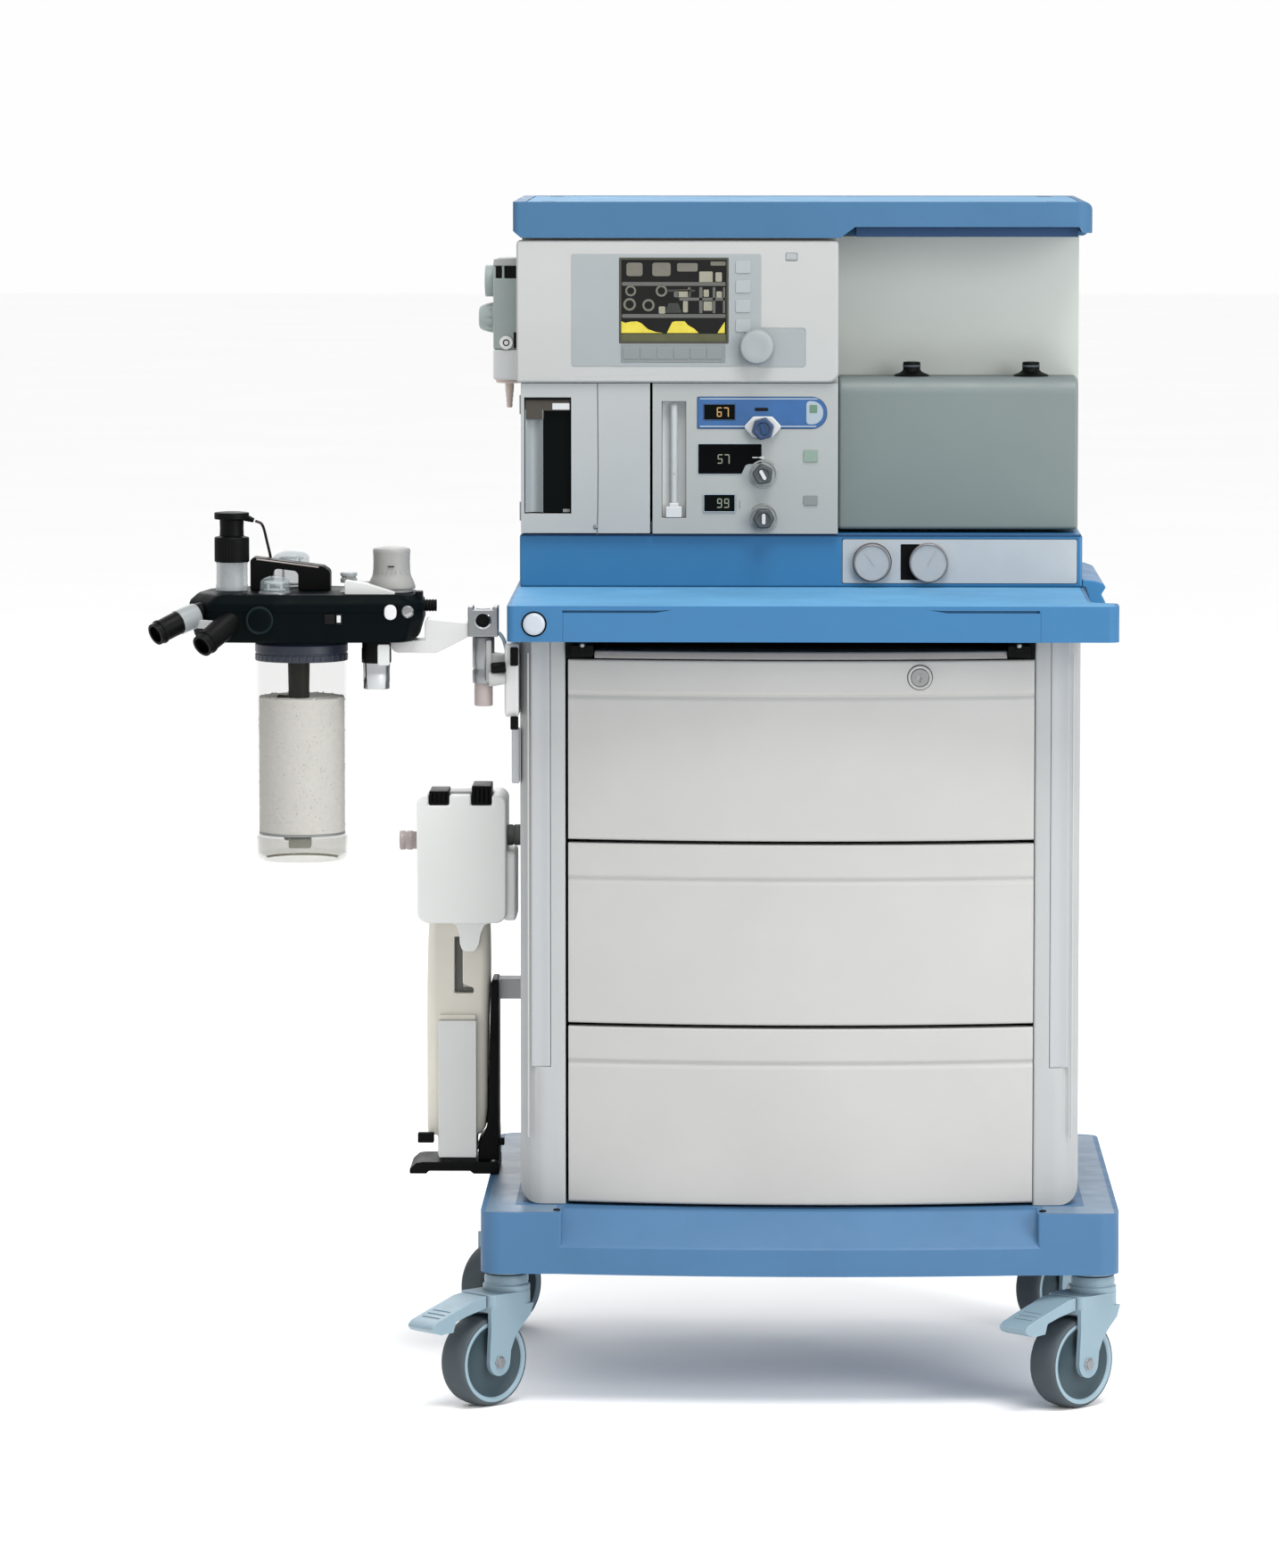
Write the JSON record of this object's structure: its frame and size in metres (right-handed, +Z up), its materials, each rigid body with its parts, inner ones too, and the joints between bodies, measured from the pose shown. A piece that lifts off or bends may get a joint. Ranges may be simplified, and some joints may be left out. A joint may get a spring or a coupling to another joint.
{
  "type": "anesthesia machine",
  "caption": "Wheeled anesthesia machine with drawers, monitor, flow controls, vaporizer bay and a swing-out breathing system.",
  "frame": {"origin": "bottom centre of the whole machine's box, on the floor", "axes": "+Z up, the front faces -Y, +X is the machine's right as seen from the front"},
  "size_m": [1.091, 0.7422, 1.353],
  "materials": {
    "absorber_canister": "clear over white granules",
    "air_knob": "satin",
    "apl_knob": "satin",
    "aux_flow_knob": "satin",
    "aux_flow_unit": "satin",
    "bag_port": "polished",
    "base_frame": "satin, moulded",
    "bay_panel": "satin",
    "block_handle": "matt",
    "brake_pedal_front_left": "satin",
    "brake_pedal_front_right": "satin",
    "breathing_arm": "powder coated",
    "breathing_block": "satin",
    "cabinet_back": "satin",
    "door_window": "smoked",
    "drawer_bottom": "satin",
    "drawer_lock": "satin",
    "drawer_middle": "satin",
    "drawer_top": "satin",
    "flow_panel": "satin",
    "flow_tube": "clear",
    "flush_button": "satin",
    "fork_back_left": "painted",
    "fork_back_right": "painted",
    "fork_front_left": "painted",
    "fork_front_right": "painted",
    "gas_inlet_block": "satin",
    "gauge_left": "satin",
    "gauge_panel": "satin",
    "gauge_right": "satin",
    "head_shell": "satin",
    "menu_knob": "satin",
    "monitor_housing": "satin",
    "monitor_screen": "glossy",
    "nitrous_knob": "satin",
    "oxygen_knob": "satin",
    "oxygen_sensor": "satin",
    "pivot_bracket": "satin",
    "power_inlet": "matt",
    "riser": "satin",
    "scavenger_chamber": "satin",
    "scavenger_housing": "satin",
    "scavenger_stand": "matt",
    "sensor_cable": "matt",
    "side_panel_left": "satin",
    "side_panel_right": "satin",
    "side_rail": "powder coated",
    "top_cap": "satin, moulded",
    "tray_guide": "matt",
    "vaporizer_manifold": "satin",
    "vaporizer_peg_left": "satin",
    "vaporizer_peg_right": "satin",
    "ventilator_cylinder": "satin",
    "ventilator_door": "satin",
    "wheel_back_left": "matt",
    "wheel_back_right": "matt",
    "wheel_front_left": "matt",
    "wheel_front_right": "matt",
    "worktop": "satin, moulded",
    "writing_tray": "satin"
  },
  "bodies": {
    "cart": {"base_frame": "base_frame", "side_panel_left": "side_panel_left", "side_panel_right": "side_panel_right", "cabinet_back": "cabinet_back", "tray_guide": "tray_guide", "worktop": "worktop", "riser": "riser", "gauge_panel": "gauge_panel", "gauge_left": "gauge_left", "gauge_right": "gauge_right", "side_rail": "side_rail", "head_shell": "head_shell", "monitor_housing": "monitor_housing", "monitor_screen": "monitor_screen", "flow_panel": "flow_panel", "flow_tube": "flow_tube", "ventilator_cylinder": "ventilator_cylinder", "bay_panel": "bay_panel", "vaporizer_manifold": "vaporizer_manifold", "vaporizer_peg_left": "vaporizer_peg_left", "vaporizer_peg_right": "vaporizer_peg_right", "top_cap": "top_cap", "aux_flow_unit": "aux_flow_unit", "gas_inlet_block": "gas_inlet_block", "power_inlet": "power_inlet", "pivot_bracket": "pivot_bracket", "scavenger_housing": "scavenger_housing", "scavenger_chamber": "scavenger_chamber", "scavenger_stand": "scavenger_stand"},
    "caster_front_left": {"fork_front_left": "fork_front_left"},
    "wheel_front_left": {"wheel_front_left": "wheel_front_left"},
    "pedal_front_left": {"brake_pedal_front_left": "brake_pedal_front_left"},
    "caster_front_right": {"fork_front_right": "fork_front_right"},
    "wheel_front_right": {"wheel_front_right": "wheel_front_right"},
    "pedal_front_right": {"brake_pedal_front_right": "brake_pedal_front_right"},
    "caster_back_left": {"fork_back_left": "fork_back_left"},
    "wheel_back_left": {"wheel_back_left": "wheel_back_left"},
    "caster_back_right": {"fork_back_right": "fork_back_right"},
    "wheel_back_right": {"wheel_back_right": "wheel_back_right"},
    "drawer_bottom": {"drawer_bottom": "drawer_bottom"},
    "drawer_middle": {"drawer_middle": "drawer_middle"},
    "drawer_top": {"drawer_top": "drawer_top"},
    "lock": {"drawer_lock": "drawer_lock"},
    "tray": {"writing_tray": "writing_tray"},
    "button": {"flush_button": "flush_button"},
    "door": {"ventilator_door": "ventilator_door", "door_window": "door_window"},
    "knob_oxygen": {"oxygen_knob": "oxygen_knob"},
    "knob_air": {"air_knob": "air_knob"},
    "knob_nitrous": {"nitrous_knob": "nitrous_knob"},
    "menu": {"menu_knob": "menu_knob"},
    "aux_knob": {"aux_flow_knob": "aux_flow_knob"},
    "breathing": {"breathing_arm": "breathing_arm", "breathing_block": "breathing_block", "block_handle": "block_handle", "oxygen_sensor": "oxygen_sensor", "sensor_cable": "sensor_cable", "bag_port": "bag_port"},
    "apl": {"apl_knob": "apl_knob"},
    "canister": {"absorber_canister": "absorber_canister"}
  },
  "joints": [
    {"name": "swivel_front_left", "type": "hinge", "parent": "cart", "child": "caster_front_left", "pos_m": [-0.14765, -0.26395, 0.1472], "axis": [0, 0, 1], "continuous": true},
    {"name": "roll_front_left", "type": "hinge", "parent": "caster_front_left", "child": "wheel_front_left", "pos_m": [-0.1724, -0.2887, 0.0515], "axis": [0.7071, -0.7071, 0], "continuous": true},
    {"name": "brake_front_left", "type": "hinge", "parent": "caster_front_left", "child": "pedal_front_left", "pos_m": [-0.18654, -0.30284, 0.118], "axis": [0.7071, -0.7071, 0], "range_deg": [0, 12]},
    {"name": "swivel_front_right", "type": "hinge", "parent": "cart", "child": "caster_front_right", "pos_m": [0.51635, -0.26395, 0.1472], "axis": [0, 0, 1], "continuous": true},
    {"name": "roll_front_right", "type": "hinge", "parent": "caster_front_right", "child": "wheel_front_right", "pos_m": [0.4916, -0.2887, 0.0515], "axis": [0.7071, -0.7071, 0], "continuous": true},
    {"name": "brake_front_right", "type": "hinge", "parent": "caster_front_right", "child": "pedal_front_right", "pos_m": [0.47746, -0.30284, 0.118], "axis": [0.7071, -0.7071, 0], "range_deg": [0, 12]},
    {"name": "swivel_back_left", "type": "hinge", "parent": "cart", "child": "caster_back_left", "pos_m": [-0.14765, 0.26605, 0.1472], "axis": [0, 0, 1], "continuous": true},
    {"name": "roll_back_left", "type": "hinge", "parent": "caster_back_left", "child": "wheel_back_left", "pos_m": [-0.1724, 0.2413, 0.0515], "axis": [0.7071, -0.7071, 0], "continuous": true},
    {"name": "swivel_back_right", "type": "hinge", "parent": "cart", "child": "caster_back_right", "pos_m": [0.51635, 0.26605, 0.1472], "axis": [0, 0, 1], "continuous": true},
    {"name": "roll_back_right", "type": "hinge", "parent": "caster_back_right", "child": "wheel_back_right", "pos_m": [0.4916, 0.2413, 0.0515], "axis": [0.7071, -0.7071, 0], "continuous": true},
    {"name": "slide_drawer_bottom", "type": "slide", "parent": "cart", "child": "drawer_bottom", "axis": [0, -1, 0], "range_m": [0, 0.38]},
    {"name": "slide_drawer_middle", "type": "slide", "parent": "cart", "child": "drawer_middle", "axis": [0, -1, 0], "range_m": [0, 0.38]},
    {"name": "slide_drawer_top", "type": "slide", "parent": "cart", "child": "drawer_top", "axis": [0, -1, 0], "range_m": [0, 0.38]},
    {"name": "turn_lock", "type": "hinge", "parent": "drawer_top", "child": "lock", "pos_m": [0.31835, -0.27015, 0.8246], "axis": [0, 1, 0], "range_deg": [0, 90]},
    {"name": "slide_tray", "type": "slide", "parent": "cart", "child": "tray", "axis": [0, -1, 0], "range_m": [0, 0.3]},
    {"name": "press_flush", "type": "slide", "parent": "cart", "child": "button", "axis": [0, 1, 0], "range_m": [0, 0.004], "stiffness_N_per_m": 600},
    {"name": "open_door", "type": "hinge", "parent": "cart", "child": "door", "pos_m": [-0.13785, -0.00935, 1.058], "axis": [0, 0, -1], "range_deg": [0, 110]},
    {"name": "turn_oxygen", "type": "hinge", "parent": "cart", "child": "knob_oxygen", "pos_m": [0.14095, -0.03395, 1.0927], "axis": [0, 1, 0], "range_deg": [0, 340]},
    {"name": "turn_air", "type": "hinge", "parent": "cart", "child": "knob_air", "pos_m": [0.14095, -0.03395, 1.04], "axis": [0, 1, 0], "range_deg": [0, 340]},
    {"name": "turn_nitrous", "type": "hinge", "parent": "cart", "child": "knob_nitrous", "pos_m": [0.14195, -0.03395, 0.9893], "axis": [0, 1, 0], "range_deg": [0, 340]},
    {"name": "turn_menu", "type": "hinge", "parent": "cart", "child": "menu", "pos_m": [0.13365, -0.03935, 1.1868], "axis": [0, 1, 0], "continuous": true},
    {"name": "turn_aux", "type": "hinge", "parent": "cart", "child": "aux_knob", "pos_m": [-0.17305, 0.08605, 1.216], "axis": [1, 0, 0], "range_deg": [0, 340]},
    {"name": "swing_arm", "type": "hinge", "parent": "cart", "child": "breathing", "pos_m": [-0.17365, -0.22895, 0.8675], "axis": [0, 0, 1], "range_deg": [-45, 55]},
    {"name": "turn_apl", "type": "hinge", "parent": "breathing", "child": "apl", "pos_m": [-0.27715, -0.22895, 0.9212], "axis": [0, 0, 1], "range_deg": [0, 300]},
    {"name": "twist_canister", "type": "hinge", "parent": "breathing", "child": "canister", "pos_m": [-0.37935, -0.22895, 0.614], "axis": [0, 0, 1], "range_deg": [0, 45]}
  ]
}
